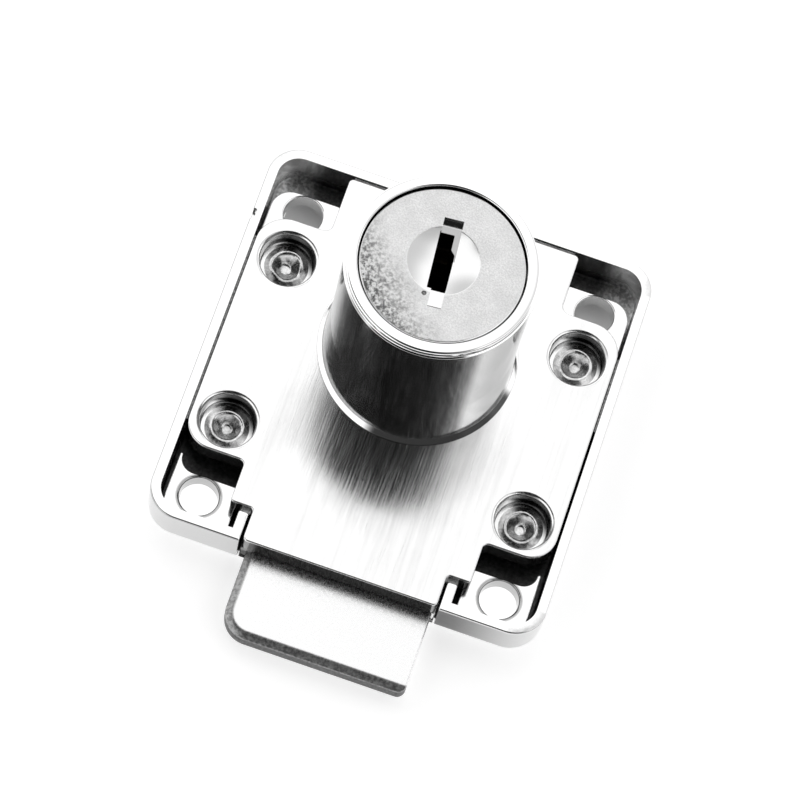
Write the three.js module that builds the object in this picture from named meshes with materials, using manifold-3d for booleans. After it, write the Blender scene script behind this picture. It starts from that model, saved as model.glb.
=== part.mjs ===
// A plate-mounted drawer lock: a cast case with a flush cover plate, a long round barrel with a
// wafer plug, and a flat dead bolt that the plug's eccentric pin drives in and out of the case.
// Millimetres. The origin is on the barrel's axis at the back face of the case.
// +Z runs up the barrel to the key face, and the bolt leaves the case along -Y.

import * as THREE from "three";
import { mergeVertices } from "three/addons/utils/BufferGeometryUtils.js";
import Module from "manifold-3d";

const wasm = await Module();
wasm.setup();

// ---------------------------------------------------------------- driving dimensions

const DEG = Math.PI / 180;
const CLEAR = 0.1; // running clearance between turning or sliding pieces
const SEAT = 0.02; // hairline between fixed pieces that touch
const ROUND = 48; // facets round the barrel and the plug

const CASE = {
  halfWidth: 20.8, top: 17.3, bottom: -25.6, corner: 3.4, height: 5.8,
  wall: 1.05, floor: 1.2, backRound: 1.5, channelFloor: 0.7,
};
const PLATE = {
  thickness: 2.4, halfWidth: 19.5, top: 15.9, bottom: -25.4, shoulder: 12.5, waist: 12.65,
  earTop: 9.35, earBottom: -17.4, foot: 10.2, footTop: -21.9,
  ribInner: 8.2, ribOuter: 9.6, ribFromAxis: 10.5,
};
const SCREWS = { x: 15.9, yTop: 11.3, yBottom: -21.65, radius: 2, headRadius: 3.2, headDepth: 1.4 };
const UPPER_PAD = { inner: 12.1, outer: 19.45, foot: 6, top: 13.5, innerCorner: 0.6, outerCorner: 2.2 };
const LOWER_PAD = {
  inner: 12.1, outer: 19.2, top: -19.5, corner: 0.7, horn: 0.4, hornTop: -17.8, hollow: 1.5,
};
const RIVETS = {
  x: 15.65, yTop: 4.95, yBottom: -13.85, shank: 1.6, head: 2.28, crest: 1.65, headRise: 0.3,
  mouth: 1.3, hollow: 0.5, hollowDepth: 0.8, recess: 2.85, recessDepth: 2.05, bossRadius: 2.9,
  tail: 2.3, tailDepth: 0.7,
};
const GUIDE = { inner: 10.5, outer: 11.5, top: 3.3, postTop: -22.55, end: 13 };
const BARREL = {
  lipTop: 28.1, lipHeight: 0.95, lipRadius: 9.45, bead: 9.63, radius: 9.5, bore: 6.1, faceBore: 8.3,
  shoulder: 25.3, collar: 10.3, collarRise: 7, flare: 9.8, flareRise: 0.5, spigot: 7.9,
  flange: 8.9, flangeRise: 0.65,
};
const PLUG = {
  face: 27.8, radius: 6, headRadius: 8.15, foot: 3.5, pinRadius: 1.5, pinFoot: 0.9,
  dishRadius: 3.65, dishDepth: 0.45,
};
const KEYWAY = {
  turn: 5.2 * DEG, shift: 0.45, left: -1, right: 0.88, length: 6.2, foot: 10.2,
  ward: 0.4, wardLength: 1.65,
};
// The slot in the key face is sunk with a disc cutter, so its floor is a shallow arc.
const SLOT = { left: -0.95, right: 0.98, low: -4.6, high: 5, cutter: 9.6 };
const WAFERS = {
  top: 23.4, pitch: 2, width: 5.2, thickness: 1, windowLength: 5,
  lugOut: 3.95, lugFrom: 0.8, lugTo: 1.8, travel: 0.9,
  cuts: [0.35, -0.15, 0.5, 0.1, -0.35, 0.25, -0.05],
};
const SPRING = { coil: 0.45, wire: 0.12, turns: 4.5, stepsPerTurn: 6 };
const POCKET = { centre: 3.3, low: -3.4, high: 3 };
const RETAINER = {
  z: 8.9, thickness: 1.1, width: 3.9, inner: 1.5, outer: 6.75, pocket: -2.9,
  grooveRadius: 7, grooveHeight: 1.4,
};
const STOP = { inner: 6.5, outer: 7.6, halfAngle: 12 * DEG, foot: 24.55, turn: 180 * DEG };
const BOLT = {
  left: -9.6, right: 10, leftCorner: 2.8, rightCorner: 1, shoulderHalf: 10.3, shoulder: -25.2,
  end: -34.1, inner: 3.2, top: 2.85, foot: 0.8, bevel: 0.85, bevelRise: 0.52, throwRadius: 4.2,
  slotHalf: 6, slotSlack: 1.15,
};

const PLATE_FOOT = CASE.height - PLATE.thickness;
const rivetPlaces = [
  ["upper_left", -RIVETS.x, RIVETS.yTop],
  ["upper_right", RIVETS.x, RIVETS.yTop],
  ["lower_left", -RIVETS.x, RIVETS.yBottom],
  ["lower_right", RIVETS.x, RIVETS.yBottom],
];
const screwPlaces = [-1, 1].flatMap((side) => [
  [side * SCREWS.x, SCREWS.yTop],
  [side * SCREWS.x, SCREWS.yBottom],
]);

// ---------------------------------------------------------------- materials

function metal(colour, roughness) {
  return new THREE.MeshStandardMaterial({ color: colour, metalness: 1, roughness });
}

const finishes = {
  case_chrome: metal(0xdfe0e1, 0.28),
  plate_brushed: metal(0xe2e3e4, 0.34),
  barrel_chrome: metal(0xd2d3d6, 0.12),
  plug_satin: metal(0xc6c8ca, 0.42),
  bolt_satin: metal(0xe6e6e4, 0.4),
  rivet_zinc: metal(0xb9bbbe, 0.3),
  wafer_brass: metal(0xc9a85a, 0.35),
  spring_steel: metal(0x9a9da1, 0.3),
};

// ---------------------------------------------------------------- solids

// A three.js geometry as a manifold solid.
function solid(geometry) {
  geometry.deleteAttribute("normal");
  geometry.deleteAttribute("uv");
  const merged = mergeVertices(geometry);
  const index = merged.index.array;
  const faces = [];
  for (let i = 0; i < index.length; i += 3) {
    const [a, b, c] = [index[i], index[i + 1], index[i + 2]];
    if (a !== b && b !== c && c !== a) {
      faces.push(a, b, c);
    }
  }
  return new wasm.Manifold(new wasm.Mesh({
    numProp: 3,
    vertProperties: new Float32Array(merged.attributes.position.array),
    triVerts: new Uint32Array(faces),
  }));
}

// A manifold solid back as a three.js geometry.
function geometryOf(body) {
  const mesh = body.getMesh();
  const geometry = new THREE.BufferGeometry();
  geometry.setAttribute("position", new THREE.BufferAttribute(mesh.vertProperties, 3));
  geometry.setIndex(new THREE.BufferAttribute(mesh.triVerts, 1));
  geometry.computeVertexNormals();
  return geometry;
}

function block(x0, x1, y0, y1, z0, z1) {
  const geometry = new THREE.BoxGeometry(x1 - x0, y1 - y0, z1 - z0);
  geometry.translate((x0 + x1) / 2, (y0 + y1) / 2, (z0 + z1) / 2);
  return solid(geometry);
}

function prism(shape, z0, z1, curveSegments = 3) {
  const options = { depth: z1 - z0, bevelEnabled: false, curveSegments };
  return solid(new THREE.ExtrudeGeometry(shape, options).translate(0, 0, z0));
}

// A solid of revolution about Z. A profile's points are [radius, height]; one that starts off the
// axis is closed on itself.
function turned(profile, segments) {
  const points = profile.map(([r, z]) => new THREE.Vector2(r, z));
  if (profile[0][0] > 0) {
    points.push(points[0].clone());
  }
  return solid(new THREE.LatheGeometry(points, segments).rotateX(Math.PI / 2));
}

function rod(x, y, z0, z1, radius, segments = 24) {
  const profile = [[0, z0], [radius, z0], [radius, z1], [0, z1]];
  return turned(profile, segments).translate([x, y, 0]);
}

function cone(x, y, z0, z1, radius0, radius1, segments = 24) {
  const profile = [[0, z0], [radius0, z0], [radius1, z1], [0, z1]];
  return turned(profile, segments).translate([x, y, 0]);
}

// A closed outline with a round at every corner; corners are [x, y, radius].
function outline(corners) {
  const shape = new THREE.Shape();
  corners.forEach(([x, y, radius], i) => {
    const here = new THREE.Vector2(x, y);
    const before = new THREE.Vector2(...corners.at(i - 1)).sub(here).normalize();
    const after = new THREE.Vector2(...corners[(i + 1) % corners.length]).sub(here).normalize();
    const half = Math.acos(before.dot(after)) / 2;
    const reach = radius / Math.tan(half);
    const start = here.clone().addScaledVector(before, reach);
    const stop = here.clone().addScaledVector(after, reach);
    const middle = before.clone().add(after).normalize().multiplyScalar(radius / Math.sin(half));
    const centre = here.clone().add(middle);
    const clockwise = before.cross(after) > 0;
    const from = start.clone().sub(centre).angle();
    const to = stop.clone().sub(centre).angle();
    if (i === 0) {
      shape.moveTo(start.x, start.y);
    }
    shape.absarc(centre.x, centre.y, radius, from, to, clockwise);
  });
  shape.closePath();
  return shape;
}

function roundedBox(x0, x1, y0, y1, radius) {
  return outline([[x0, y0, radius], [x1, y0, radius], [x1, y1, radius], [x0, y1, radius]]);
}

function ringSector(inner, outer, from, to) {
  const shape = new THREE.Shape();
  shape.absarc(0, 0, outer, from, to, false);
  shape.absarc(0, 0, inner, to, from, true);
  shape.closePath();
  return shape;
}

function joined(pieces) {
  return pieces.reduce((whole, piece) => whole.add(piece));
}

// ---------------------------------------------------------------- case

// The open tray: a flat back with a rounded edge, and an upright rim all round.
function caseShell() {
  const { halfWidth, top, bottom, corner, height, wall, floor, backRound } = CASE;
  const rounded = new THREE.ExtrudeGeometry(
    roundedBox(-halfWidth, halfWidth, bottom, top, corner),
    {
      depth: 2 * height, bevelEnabled: true, bevelThickness: backRound, bevelSize: backRound,
      bevelOffset: -backRound, bevelSegments: 3, curveSegments: 4,
    },
  ).translate(0, 0, backRound);
  const below = block(-halfWidth - 1, halfWidth + 1, bottom - 1, top + 1, -1, height);
  const inner = roundedBox(
    -halfWidth + wall, halfWidth - wall, bottom + wall, top - wall, corner - wall,
  );
  return solid(rounded).intersect(below).subtract(prism(inner, floor, height + 1, 4));
}

// The block that an upper mounting screw passes through, free of the side rim.
function upperPad(side) {
  const { inner, outer, foot, top, innerCorner, outerCorner } = UPPER_PAD;
  const shape = outline([
    [side * inner, foot, innerCorner], [side * outer, foot, innerCorner],
    [side * outer, top, outerCorner], [side * inner, top, innerCorner],
  ]);
  return prism(shape, CASE.floor / 2, PLATE_FOOT - SEAT);
}

// The block of a lower screw: it joins the bottom rim, and a thin horn runs up beside the side rim.
function lowerPad(side) {
  const { inner, outer, top, corner, horn, hornTop, hollow } = LOWER_PAD;
  const foot = CASE.bottom + CASE.wall / 2;
  const shape = outline([
    [side * inner, foot, corner], [side * outer, foot, corner],
    [side * outer, hornTop, horn / 3], [side * (outer - horn), hornTop, horn / 3],
    [side * (outer - horn), top, hollow], [side * inner, top, corner],
  ]);
  return prism(shape, CASE.floor / 2, PLATE_FOOT - SEAT);
}

// The rib beside the bolt, which rises to the rim's height next to the bolt's opening.
function guideRib(side) {
  const [x0, x1] = [side * GUIDE.inner, side * GUIDE.outer].sort((a, b) => a - b);
  const rim = CASE.bottom + CASE.wall / 2;
  const rib = block(x0, x1, rim, GUIDE.end, CASE.floor / 2, GUIDE.top);
  return rib.add(block(x0, x1, rim, GUIDE.postTop, CASE.floor / 2, CASE.height));
}

function lockCase() {
  const pads = [-1, 1].flatMap((side) => [upperPad(side), lowerPad(side)]);
  const bosses = rivetPlaces.map(([, x, y]) =>
    rod(x, y, CASE.floor / 2, PLATE_FOOT - SEAT, RIVETS.bossRadius));
  const body = joined([caseShell(), ...pads, ...bosses, guideRib(-1), guideRib(1)]);
  const channel = block(
    -GUIDE.inner, GUIDE.inner, CASE.bottom - 1, GUIDE.end, CASE.channelFloor, CASE.height + 1,
  );
  const screwHoles = screwPlaces.flatMap(([x, y]) => [
    rod(x, y, -1, CASE.height, SCREWS.radius),
    cone(x, y, -0.01, SCREWS.headDepth, SCREWS.headRadius, SCREWS.radius),
  ]);
  const rivetHoles = rivetPlaces.flatMap(([, x, y]) => [
    rod(x, y, -1, CASE.height, RIVETS.shank + CLEAR),
    cone(x, y, -0.01, RIVETS.tailDepth + CLEAR, RIVETS.tail + CLEAR, RIVETS.shank + CLEAR),
  ]);
  return body.subtract(joined([channel, ...screwHoles, ...rivetHoles]));
}

// ---------------------------------------------------------------- cover plate

// Half of the plate's outline, from the middle of its foot to the middle of its top edge.
function plateSide(side) {
  const { halfWidth, top, bottom, shoulder, waist, earTop, earBottom, foot, footTop } = PLATE;
  return [
    [side * foot, bottom, 0.5],
    [side * foot, footTop, 0.4],
    [side * waist, footTop, 0.3],
    [side * waist, earBottom, 0.6],
    [side * halfWidth, earBottom, 2.8],
    [side * halfWidth, earTop, 3.2],
    [side * shoulder, earTop, 0.9],
    [side * shoulder, top, 0.5],
  ];
}

function coverPlate() {
  const shape = outline([...plateSide(1), ...plateSide(-1).reverse()]);
  const plate = prism(shape, PLATE_FOOT, CASE.height, 4);
  const ribs = [-1, 1].flatMap((side) => {
    const [x0, x1] = [side * PLATE.ribInner, side * PLATE.ribOuter].sort((a, b) => a - b);
    const [foot, root] = [BOLT.top + CLEAR, PLATE_FOOT + CLEAR];
    return [
      block(x0, x1, PLATE.bottom, -PLATE.ribFromAxis, foot, root),
      block(x0, x1, PLATE.ribFromAxis, GUIDE.end, foot, root),
    ];
  });
  const barrelSeat = rod(0, 0, 0, CASE.height + 1, BARREL.spigot + CLEAR, ROUND);
  const flangeSeat = rod(
    0, 0, 0, PLATE_FOOT + BARREL.flangeRise + 2 * CLEAR, BARREL.flange + 2 * CLEAR, ROUND,
  );
  const rivetSeats = rivetPlaces.flatMap(([, x, y]) => [
    rod(x, y, 0, CASE.height + 1, RIVETS.shank + CLEAR / 2),
    rod(x, y, CASE.height - RIVETS.recessDepth, CASE.height + 1, RIVETS.recess),
  ]);
  return joined([plate, ...ribs]).subtract(joined([barrelSeat, flangeSeat, ...rivetSeats]));
}

// A hollow rivet: countersunk tail in the case's back, shank, and a flared head in the recess.
function rivet() {
  const { shank, head, crest, headRise, mouth, hollow, hollowDepth } = RIVETS;
  const { recessDepth, tail, tailDepth } = RIVETS;
  const seat = CASE.height - recessDepth + SEAT;
  return turned([
    [0, SEAT], [tail, SEAT], [shank, tailDepth], [shank, seat], [head, seat],
    [head, seat + headRise / 4], [crest + 0.15, seat + headRise], [crest - 0.15, seat + headRise],
    [mouth, seat + headRise / 2], [hollow, seat - hollowDepth], [0, seat - hollowDepth],
  ], 16);
}

// ---------------------------------------------------------------- barrel

function barrel() {
  const { lipTop, lipHeight, lipRadius, bead, radius, bore, faceBore, shoulder } = BARREL;
  const { collar, collarRise, flare, flareRise, spigot, flange, flangeRise } = BARREL;
  const foot = PLATE_FOOT + CLEAR;
  const seat = CASE.height + SEAT;
  const groove = [RETAINER.z - RETAINER.grooveHeight / 2, RETAINER.z + RETAINER.grooveHeight / 2];
  const body = turned([
    [bore, foot], [flange, foot], [flange, foot + flangeRise], [spigot, foot + flangeRise],
    [spigot, seat], [collar, seat], [collar, seat + 0.1], [flare, seat + flareRise],
    [radius, seat + collarRise],
    [radius, lipTop - lipHeight - 0.15], [bead, lipTop - lipHeight], [bead, lipTop - lipHeight + 0.1],
    [lipRadius, lipTop - lipHeight + 0.2], [lipRadius, lipTop - 0.15], [lipRadius - 0.15, lipTop],
    [faceBore + 0.1, lipTop], [faceBore, lipTop - 0.1], [faceBore, shoulder],
    [bore, shoulder], [bore, groove[1]], [RETAINER.grooveRadius, groove[1]],
    [RETAINER.grooveRadius, groove[0]], [bore, groove[0]],
  ], ROUND);
  const reach = WAFERS.width / 2 + 3 * CLEAR;
  const depth = PLUG.radius + WAFERS.travel + 2.5 * CLEAR;
  const broach = block(-reach, reach, -depth, depth, KEYWAY.foot - 0.1, shoulder + 0.5);
  const margin = 3 * DEG;
  const stopGroove = prism(
    ringSector(
      STOP.inner - 2 * CLEAR, STOP.outer + 2 * CLEAR,
      -STOP.halfAngle - margin, STOP.turn + STOP.halfAngle + margin,
    ),
    STOP.foot - CLEAR, shoulder + 0.5, 14,
  );
  return body.subtract(broach.rotate([0, 0, KEYWAY.turn / DEG])).subtract(stopGroove);
}

// ---------------------------------------------------------------- plug

function waferHeights() {
  return WAFERS.cuts.map((_, i) => WAFERS.top - i * WAFERS.pitch);
}

// Everything that is cut out of the plug along the turned keyway.
function plugCuts() {
  const { left, right, length, foot, shift, ward, wardLength } = KEYWAY;
  const above = PLUG.face + 1;
  const [low, high] = [shift - length / 2, shift + length / 2];
  const keyhole = block(left, right, low, high - wardLength, foot, above)
    .add(block(left, right - ward, low, high, foot, above));
  const rise = Math.sqrt(SLOT.cutter ** 2 - ((SLOT.high - SLOT.low) / 2) ** 2);
  const slot = rod(0, 0, SLOT.left, SLOT.right, SLOT.cutter, 2 * ROUND)
    .rotate([0, 90, 0])
    .translate([0, (SLOT.low + SLOT.high) / 2, PLUG.face + rise]);
  const waferSlots = waferHeights().flatMap((z) => {
    const half = WAFERS.thickness / 2 + CLEAR / 2;
    const tall = SPRING.coil + SPRING.wire + CLEAR;
    const across = WAFERS.width / 2 + CLEAR;
    const out = WAFERS.lugOut + CLEAR;
    return [
      block(-across, across, -PLUG.radius - 1, PLUG.radius + 1, z - half, z + half),
      block(across - 2 * CLEAR, out, POCKET.low, POCKET.high, z - tall, z + tall),
    ];
  });
  const retainerHalf = RETAINER.width / 2 + CLEAR;
  const retainerZ = RETAINER.thickness / 2 + CLEAR / 2;
  const retainerSlot = block(
    RETAINER.pocket, PLUG.radius + 1, -retainerHalf, retainerHalf,
    RETAINER.z - retainerZ, RETAINER.z + retainerZ,
  );
  return joined([keyhole, slot, ...waferSlots, retainerSlot]);
}

function plug() {
  const { face, radius, headRadius, foot, pinRadius, pinFoot, dishRadius, dishDepth } = PLUG;
  const headFoot = BARREL.shoulder + CLEAR / 2;
  const body = turned([
    [0, foot], [radius, foot], [radius, headFoot], [headRadius, headFoot],
    [headRadius, face - 0.15], [headRadius - 0.15, face], [0, face],
  ], ROUND);
  const stop = prism(
    ringSector(STOP.inner, STOP.outer, -STOP.halfAngle, STOP.halfAngle),
    STOP.foot, headFoot + 0.3,
  );
  const pin = rod(0, -BOLT.throwRadius, pinFoot, foot + 0.5, pinRadius);
  const dish = turned(
    [[0, face - dishDepth], [dishRadius, face], [dishRadius, face + 1], [0, face + 1]], 36,
  ).translate([0, KEYWAY.shift, 0]);
  const cuts = plugCuts().add(dish).rotate([0, 0, KEYWAY.turn / DEG]);
  return joined([body, stop, pin]).subtract(cuts);
}

// ---------------------------------------------------------------- wafers, retainer and springs

// A wafer lies across the plug, with a window for the key and a lug for its spring.
function wafer(cut) {
  const { width, thickness, windowLength, lugOut, lugFrom, lugTo } = WAFERS;
  const half = thickness / 2;
  const strip = block(-width / 2, width / 2, -PLUG.radius, PLUG.radius, -half, half);
  const ends = rod(0, 0, -half, half, PLUG.radius - CLEAR, ROUND);
  const lug = block(width / 2 - CLEAR, lugOut, lugFrom, lugTo, -half, half);
  const middle = KEYWAY.shift + cut;
  const window = block(
    KEYWAY.left - CLEAR, KEYWAY.right + CLEAR,
    middle - windowLength / 2, middle + windowLength / 2, -half - 1, half + 1,
  );
  return strip.intersect(ends).add(lug).subtract(window);
}

function retainer() {
  const { inner, outer, width, thickness } = RETAINER;
  const strip = block(inner, outer + 1, -width / 2, width / 2, -thickness / 2, thickness / 2);
  return strip.intersect(rod(0, 0, -thickness, thickness, outer, ROUND));
}

class Helix extends THREE.Curve {
  constructor(radius, length, turns) {
    super();
    Object.assign(this, { radius, length, turns });
  }

  getPoint(t, target = new THREE.Vector3()) {
    const angle = t * this.turns * 2 * Math.PI;
    const across = this.radius * Math.cos(angle);
    return target.set(across, t * this.length, this.radius * Math.sin(angle));
  }
}

// A coil spring along +Y that starts at the origin.
function coilSpring(length) {
  const section = new THREE.Shape();
  section.absarc(0, 0, SPRING.wire, 0, 2 * Math.PI, false);
  const path = new Helix(SPRING.coil, length, SPRING.turns);
  const steps = SPRING.turns * SPRING.stepsPerTurn;
  const geometry = new THREE.ExtrudeGeometry(section, {
    steps, curveSegments: 3, extrudePath: path, bevelEnabled: false,
  });
  return solid(geometry);
}

// ---------------------------------------------------------------- bolt

function bolt() {
  const { left, right, leftCorner, rightCorner, shoulderHalf, shoulder, end } = BOLT;
  const { inner, top, foot, bevel, bevelRise } = BOLT;
  // The tongue is bevelled along its end and its left side; its right side is sharp.
  const head = new THREE.ExtrudeGeometry(
    roundedBox(-right - 5, -left, end, shoulder + 2, leftCorner),
    {
      depth: 2 * top, bevelEnabled: true, bevelThickness: bevelRise, bevelSize: bevel,
      bevelOffset: -bevel, bevelSegments: 1, curveSegments: 4,
    },
  ).rotateY(Math.PI).translate(0, 0, top - bevelRise);
  const outside = block(left - 1, right + 1, end - 1, shoulder + 0.1, foot, top + 1);
  const rightSide = prism(
    roundedBox(left - 5, right, end, shoulder + 3, rightCorner), foot - 1, top + 1,
  );
  const body = block(-shoulderHalf, shoulderHalf, shoulder, inner, foot, top);
  const slotHalfHeight = PLUG.pinRadius + BOLT.slotSlack;
  const slot = prism(
    roundedBox(
      -BOLT.slotHalf, BOLT.slotHalf,
      -BOLT.throwRadius - slotHalfHeight, -BOLT.throwRadius + slotHalfHeight, 1,
    ),
    foot - 1, top + 1,
  );
  return solid(head).intersect(outside).intersect(rightSide).add(body).subtract(slot);
}

// ---------------------------------------------------------------- assembly

const lock = new THREE.Group();

function place(name, body, finish, parent = lock) {
  const mesh = new THREE.Mesh(geometryOf(body), finish.clone());
  mesh.name = name;
  parent.add(mesh);
  return mesh;
}

place("case", lockCase(), finishes.case_chrome);
place("cover_plate", coverPlate(), finishes.plate_brushed);
place("barrel", barrel(), finishes.barrel_chrome);
place("plug", plug(), finishes.plug_satin);
place("bolt", bolt(), finishes.bolt_satin);

for (const [corner, x, y] of rivetPlaces) {
  place(`rivet_${corner}`, rivet(), finishes.rivet_zinc).position.set(x, y, 0);
}

// The wafers, the retainer and their springs stand in a group turned with the keyway.
const cylinder = new THREE.Group();
cylinder.rotation.z = KEYWAY.turn;
lock.add(cylinder);

const springEnd = SPRING.wire + CLEAR / 2;
waferHeights().forEach((z, i) => {
  const number = i + 1;
  const length = WAFERS.lugFrom - POCKET.low - 2 * springEnd;
  place(`wafer_${number}`, wafer(WAFERS.cuts[i]), finishes.wafer_brass, cylinder)
    .position.set(0, 0, z);
  place(`wafer_spring_${number}`, coilSpring(length), finishes.spring_steel, cylinder)
    .position.set(POCKET.centre, POCKET.low + springEnd, z);
});

place("plug_retainer", retainer(), finishes.wafer_brass, cylinder).position.set(0, 0, RETAINER.z);
const retainerSpring = place(
  "retainer_spring",
  coilSpring(RETAINER.inner - RETAINER.pocket - 2 * springEnd),
  finishes.spring_steel,
  cylinder,
);
retainerSpring.rotation.z = -Math.PI / 2;
retainerSpring.position.set(RETAINER.pocket + springEnd, 0, RETAINER.z);

export default lock;
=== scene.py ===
"""The looks of a plate-mounted drawer lock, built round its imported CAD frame.

Shapes are written in millimetres and stored in metres. Z runs up the barrel, and the bolt leaves
the case along -Y.
"""

import math

import bpy
from mathutils import Matrix, Vector


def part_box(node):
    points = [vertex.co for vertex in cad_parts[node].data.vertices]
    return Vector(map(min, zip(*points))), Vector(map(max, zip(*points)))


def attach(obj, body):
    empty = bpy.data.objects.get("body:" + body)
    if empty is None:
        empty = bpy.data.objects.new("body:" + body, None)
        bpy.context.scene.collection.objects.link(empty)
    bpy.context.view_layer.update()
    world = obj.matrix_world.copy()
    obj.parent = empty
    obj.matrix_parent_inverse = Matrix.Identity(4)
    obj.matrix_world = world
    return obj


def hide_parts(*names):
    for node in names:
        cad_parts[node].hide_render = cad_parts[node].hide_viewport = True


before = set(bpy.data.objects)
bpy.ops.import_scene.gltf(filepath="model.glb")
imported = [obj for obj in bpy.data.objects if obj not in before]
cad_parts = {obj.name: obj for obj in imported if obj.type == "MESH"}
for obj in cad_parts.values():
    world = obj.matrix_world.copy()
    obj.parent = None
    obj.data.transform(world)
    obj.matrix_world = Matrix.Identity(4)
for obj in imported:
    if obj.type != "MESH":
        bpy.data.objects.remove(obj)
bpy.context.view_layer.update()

MM = 0.001
DEG = math.pi / 180

# ---------------------------------------------------------------- dimensions, millimetres


def node_box(node):
    """A CAD node's lowest and highest corner, in millimetres."""
    low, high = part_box(node)
    return low / MM, high / MM


case_low, case_high = node_box("case")
plate_low, plate_high = node_box("cover_plate")
barrel_high = node_box("barrel")[1]
bolt_low, bolt_high = node_box("bolt")

TOP = plate_high.z  # the plate's face and the rim's top edge
PLATE_FOOT = TOP - 2.4
LIP_TOP = barrel_high.z
FACE = 27.8  # the plug's face
KEY_TURN = 5.2 * DEG  # the keyway's turn from the case, as photographed
ROUND = 160  # facets round the barrel

CASE_CORNER = 3.4  # the radius of the case's outer corners
PLUG_BODY = 6.0  # the radius of the plug below its head
PIN_THROW, PIN_RADIUS = 4.2, 1.5
SLOT_SLACK = 1.15  # the bolt's cross slot is this much taller than the pin on each side
TONGUE_LEFT, TONGUE_RIGHT, TONGUE_CORNER = -9.6, 10, 2.8
SHOULDER_HALF, SHOULDER = 10.3, -25.2
RECESS_RADIUS, RECESS_ROUND, RECESS_DEPTH = 2.85, 0.42, 2.05

SCREW_X, SCREW_UPPER, SCREW_LOWER, SCREW_RADIUS = 15.9, 11.3, -21.65, 2.0
SCREWS = [(x, y) for x in (-SCREW_X, SCREW_X) for y in (SCREW_UPPER, SCREW_LOWER)]
RIVET_X, RIVET_UPPER, RIVET_LOWER = 15.65, 4.95, -13.85
RIVETS = {
    "rivet_upper_left": (-RIVET_X, RIVET_UPPER),
    "rivet_upper_right": (RIVET_X, RIVET_UPPER),
    "rivet_lower_left": (-RIVET_X, RIVET_LOWER),
    "rivet_lower_right": (RIVET_X, RIVET_LOWER),
}

# ---------------------------------------------------------------- mesh making


def mesh_object(name, verts, faces):
    mesh = bpy.data.meshes.new(name)
    mesh.from_pydata([Vector(v) * MM for v in verts], [], faces)
    mesh.update()
    obj = bpy.data.objects.new(name, mesh)
    bpy.context.scene.collection.objects.link(obj)
    return obj


def rounded(corners, segments=10):
    """Points along a closed outline whose corners are (x, y, radius)."""
    points = []
    count = len(corners)
    for i, (x, y, radius) in enumerate(corners):
        here = Vector((x, y))
        before = (Vector(corners[i - 1][:2]) - here).normalized()
        after = (Vector(corners[(i + 1) % count][:2]) - here).normalized()
        if radius <= 0:
            points.append((x, y))
            continue
        half = before.angle(after) / 2
        centre = here + (before + after).normalized() * (radius / math.sin(half))
        start = here + before * (radius / math.tan(half)) - centre
        sweep = math.pi - 2 * half
        if before.cross(after) > 0:
            sweep = -sweep
        angle = math.atan2(start.y, start.x)
        for k in range(segments + 1):
            a = angle + sweep * k / segments
            points.append((centre.x + radius * math.cos(a), centre.y + radius * math.sin(a)))
    return points


def inset(points, distance):
    """The outline moved inwards; points run anticlockwise."""
    count = len(points)
    moved = []
    for i in range(count):
        here = Vector(points[i])
        one = (here - Vector(points[i - 1])).normalized()
        two = (Vector(points[(i + 1) % count]) - here).normalized()
        normal = Vector((-one.y - two.y, one.x + two.x)).normalized()
        spread = max(normal.dot(Vector((-one.y, one.x))), 0.3)
        moved.append(tuple(here + normal * (distance / spread)))
    return moved


def slab(name, points, levels):
    """A closed solid whose section at each (inset, z) level is the outline moved in by inset."""
    count = len(points)
    verts = []
    for distance, z in levels:
        verts += [(x, y, z) for x, y in inset(points, distance)]
    faces = [list(range(count))[::-1]]
    for level in range(len(levels) - 1):
        base = level * count
        for i in range(count):
            j = (i + 1) % count
            faces.append([base + i, base + j, base + count + j, base + count + i])
    top = (len(levels) - 1) * count
    faces.append([top + i for i in range(count)])
    return mesh_object(name, verts, faces)


def box_points(x0, x1, y0, y1, radius=0.0, segments=6):
    corners = [(x0, y0), (x1, y0), (x1, y1), (x0, y1)]
    return rounded([(x, y, radius) for x, y in corners], segments)


def arc_levels(radius, z, outward, segments=5):
    """Levels that round an edge: the bottom edge if outward, or the top edge."""
    steps = [k / segments * math.pi / 2 for k in range(segments + 1)]
    if outward:
        return [(radius * (1 - math.sin(a)), z + radius * (1 - math.cos(a))) for a in steps]
    return [(radius * (1 - math.cos(a)), z - radius * (1 - math.sin(a))) for a in steps]


def soft_slab(name, points, z0, z1, bottom=0.0, top=0.12):
    """A slab with a rounded top edge and, if asked, a rounded bottom edge."""
    low = arc_levels(bottom, z0, True) if bottom else [(0, z0)]
    high = arc_levels(top, z1, False) if top else [(0, z1)]
    return slab(name, points, low + high)


def turned(name, profile, segments=ROUND, centre=(0, 0)):
    """A solid of revolution about Z; a profile that starts off the axis is closed on itself."""
    ring = profile[0][0] > 0
    verts = []
    first = []
    for r, z in profile:
        first.append(len(verts))
        if r <= 0:
            verts.append((centre[0], centre[1], z))
        else:
            for k in range(segments):
                a = 2 * math.pi * k / segments
                verts.append((centre[0] + r * math.cos(a), centre[1] + r * math.sin(a), z))
    faces = []
    rows = list(range(len(profile)))
    pairs = list(zip(rows, rows[1:])) + ([(rows[-1], 0)] if ring else [])
    for a, b in pairs:
        on_axis = profile[a][0] <= 0, profile[b][0] <= 0
        for k in range(segments):
            n = (k + 1) % segments
            low = [first[a]] if on_axis[0] else [first[a] + k, first[a] + n]
            high = [first[b]] if on_axis[1] else [first[b] + n, first[b] + k]
            if len(low) + len(high) > 2:
                faces.append(low + high)
    return mesh_object(name, verts, faces)


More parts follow.
